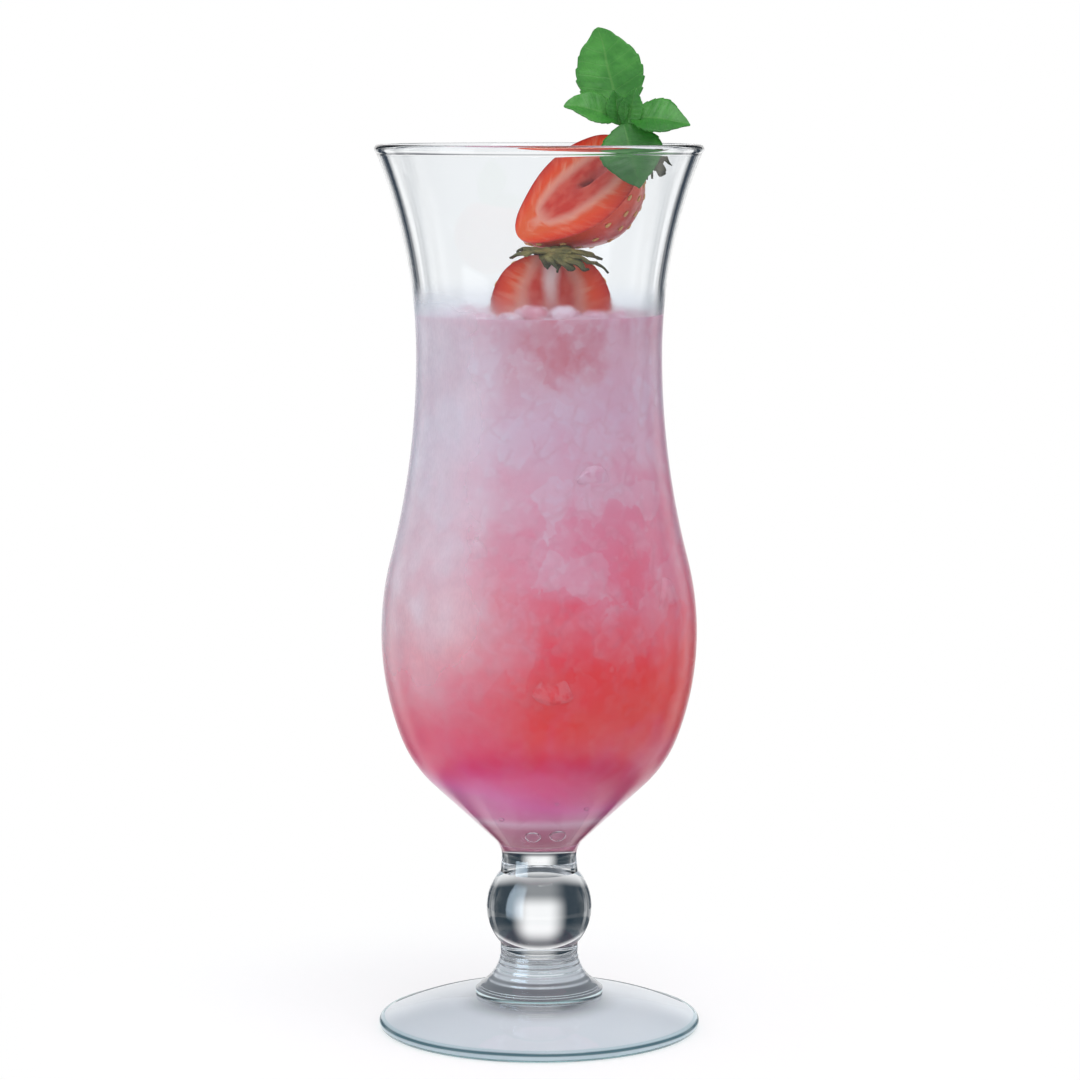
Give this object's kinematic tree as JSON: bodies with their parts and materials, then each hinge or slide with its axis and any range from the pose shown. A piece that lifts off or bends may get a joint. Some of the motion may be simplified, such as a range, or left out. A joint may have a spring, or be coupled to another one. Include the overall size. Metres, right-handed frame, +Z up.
{
  "type": "hurricane glass",
  "caption": "Hurricane glass with a flared lip, waisted bowl and ball-knop stem on a round foot, filled with an iced red drink and garnished with strawberry halves and mint.",
  "frame": {"origin": "centre of the foot's underside, on the axis of the glass", "axes": "+Z up the axis of the glass, -Y towards the viewer, +X to the viewer's right"},
  "size_m": [0.0772, 0.0772, 0.2372],
  "materials": {
    "clear_glass": "polished",
    "iced_drink": "wet",
    "ice": "frosted",
    "strawberry": "moist",
    "calyx_green": "leafy",
    "mint_green": "leafy",
    "pick_wood": "plain"
  },
  "bodies": {
    "glass": {"bowl": "clear_glass", "stem": "clear_glass", "foot": "clear_glass", "drink": "iced_drink", "crushed_ice": "ice", "surface_ice": "ice"},
    "lower_garnish": {"lower_berry": "strawberry", "lower_calyx": "calyx_green", "garnish_pick": "pick_wood"},
    "upper_garnish": {"upper_berry": "strawberry", "upper_calyx": "calyx_green"},
    "mint": {"mint_stem": "mint_green", "mint_leaf_back": "mint_green", "mint_leaf_left": "mint_green", "mint_leaf_right": "mint_green", "mint_leaf_front": "mint_green", "mint_bud_left": "mint_green", "mint_bud_right": "mint_green"}
  },
  "joints": [
    {"name": "lower_berry_lift", "type": "slide", "parent": "glass", "child": "lower_garnish", "axis": [0, 0, 1], "range_m": [0, 0.07]},
    {"name": "upper_berry_pull", "type": "slide", "parent": "lower_garnish", "child": "upper_garnish", "axis": [0.2079, 0, 0.9781], "range_m": [0, 0.025]},
    {"name": "mint_pull", "type": "slide", "parent": "upper_garnish", "child": "mint", "axis": [0, -0.309, 0.9511], "range_m": [0, 0.025]}
  ]
}
